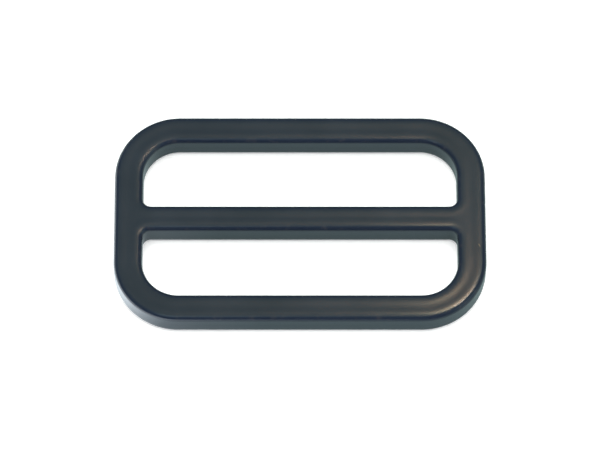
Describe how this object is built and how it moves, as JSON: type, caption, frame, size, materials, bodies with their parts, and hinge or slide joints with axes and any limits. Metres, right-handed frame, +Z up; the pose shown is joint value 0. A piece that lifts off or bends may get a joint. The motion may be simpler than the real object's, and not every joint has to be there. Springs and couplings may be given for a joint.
{
  "type": "webbing slider",
  "caption": "Flat rounded-rectangle webbing slider with a fixed centre bar flush with its frame, for adjusting a strap.",
  "frame": {"origin": "centre of the underside, below the middle of the centre bar", "axes": "+X along the centre bar, +Y the way the webbing runs through the slots, +Z up through the thickness"},
  "size_m": [0.0454, 0.0274, 0.0036],
  "materials": {
    "black_finish": "satin"
  },
  "bodies": {
    "root": {"outer_frame": "black_finish", "centre_bar": "black_finish"}
  },
  "joints": []
}
